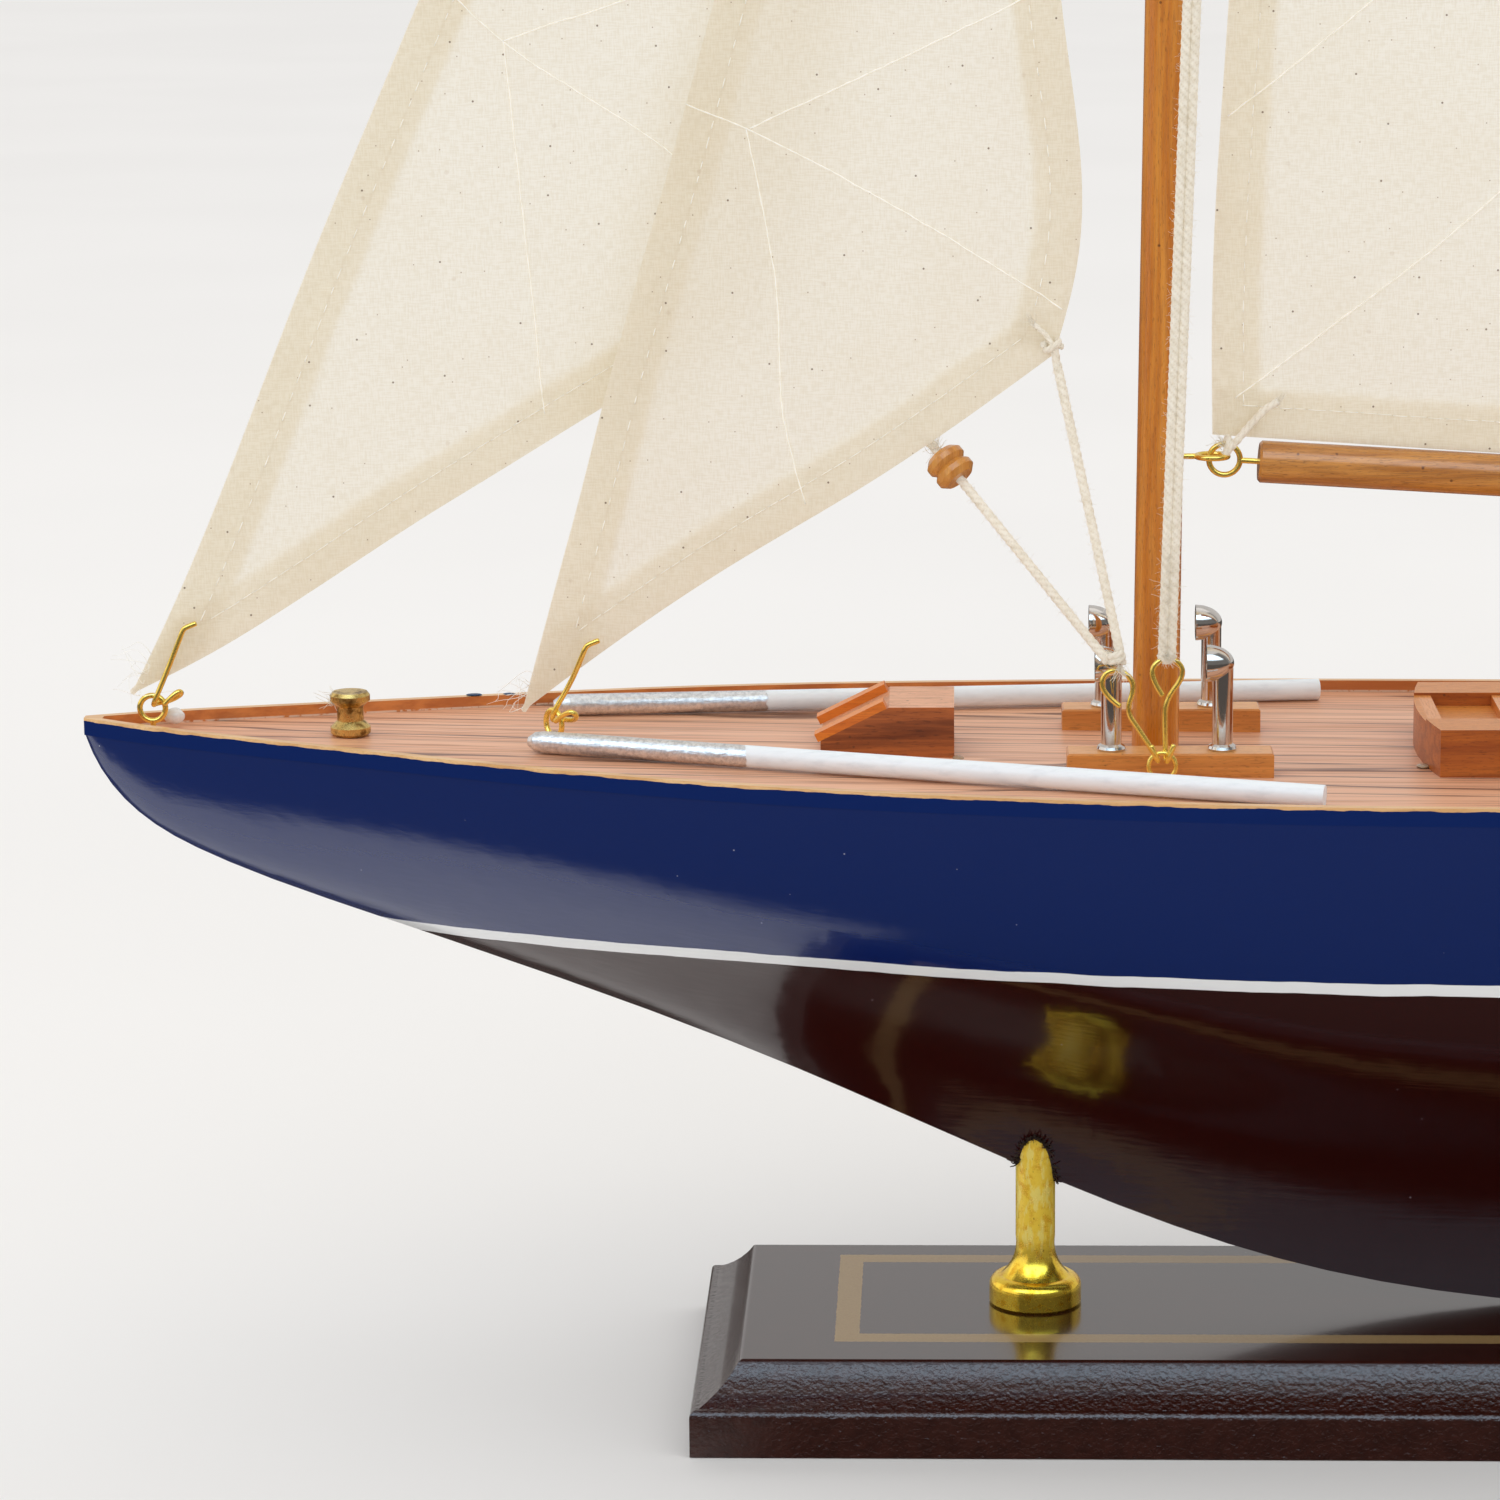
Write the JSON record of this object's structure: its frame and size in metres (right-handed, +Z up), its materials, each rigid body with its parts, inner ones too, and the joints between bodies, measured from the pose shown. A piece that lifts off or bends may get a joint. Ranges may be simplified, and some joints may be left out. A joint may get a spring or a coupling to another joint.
{
  "type": "model sailing yacht",
  "caption": "Wooden display model of a racing sailing yacht with cotton sails, brass fittings and a swinging boom, on a lacquered stand.",
  "frame": {"origin": "middle of the underside of the stand, under the middle of the hull", "axes": "+X towards the stern, +Y towards starboard, +Z up"},
  "size_m": [0.43, 0.0926, 0.6005],
  "materials": {
    "stand_lacquer": "dark glossy lacquer",
    "steel": "plated",
    "brass": "polished, lacquered",
    "hull_paint": "gloss paint",
    "deck_veneer": "satin veneer",
    "rail_wood": "varnished",
    "spar_wood": "varnished",
    "cabin_wood": "varnished",
    "white_paint": "satin paint",
    "sailcloth": "unbleached cotton",
    "bead_wood": "varnished",
    "chrome": "polished",
    "cotton_cord": "twisted cotton"
  },
  "bodies": {
    "hull_and_stand": {"bow_bollard": "brass", "bow_eye": "brass", "cockpit_coaming": "cabin_wood", "companion_hatch": "cabin_wood", "cowl_vent_aft_port": "chrome", "cowl_vent_aft_starboard": "chrome", "cowl_vent_fore_port": "chrome", "cowl_vent_fore_starboard": "chrome", "deck": "deck_veneer", "deckhouse": "cabin_wood", "gooseneck_mast_eye": "brass", "hatch_slides": "cabin_wood", "hull": "hull_paint", "jib": "sailcloth", "jib_head_eye": "brass", "jib_head_hook": "brass", "jib_sheet": "cotton_cord", "jib_tack_hook": "brass", "main_head_eye": "brass", "mast": "spar_wood", "mast_truck": "spar_wood", "masthead_lashing": "cotton_cord", "pole_port": "white_paint", "pole_starboard": "white_paint", "post_front": "brass", "post_rear": "brass", "rail_port": "rail_wood", "rail_starboard": "rail_wood", "rudder": "hull_paint", "sheet_hook": "brass", "shroud_aft": "cotton_cord", "shroud_eye_port": "brass", "shroud_eye_starboard": "brass", "shroud_fore": "cotton_cord", "shroud_hook": "brass", "skylight_bars": "cabin_wood", "spreader_port": "spar_wood", "spreader_starboard": "spar_wood", "stand_base": "stand_lacquer", "stand_screws": "steel", "stay_eye": "brass", "staysail": "sailcloth", "staysail_head_eye": "brass", "staysail_head_hook": "brass", "staysail_sheet": "cotton_cord", "staysail_tack_hook": "brass", "stern_bollard": "brass", "vent_block_port": "cabin_wood", "vent_block_starboard": "cabin_wood", "wheel_pedestal": "cabin_wood"},
    "boom": {"boom": "spar_wood", "gooseneck_boom_eye": "brass", "boom_end_eye": "brass", "mainsail": "sailcloth", "main_head_hook": "brass", "tack_lashing": "cotton_cord"},
    "bead": {"sheet_bead": "bead_wood"},
    "wheel": {"steering_wheel": "brass"}
  },
  "joints": [
    {"name": "boom_swing", "type": "hinge", "parent": "hull_and_stand", "child": "boom", "pos_m": [-0.046, 0, 0.1425], "axis": [0, 0, 1], "range_deg": [-35, 35]},
    {"name": "bead_slide", "type": "slide", "parent": "hull_and_stand", "child": "bead", "axis": [0.5997, -0.4007, -0.6926], "range_m": [0, 0.018]},
    {"name": "wheel_turn", "type": "hinge", "parent": "hull_and_stand", "child": "wheel", "pos_m": [0.101, 0, 0.10791], "axis": [1, 0, 0], "continuous": true}
  ]
}
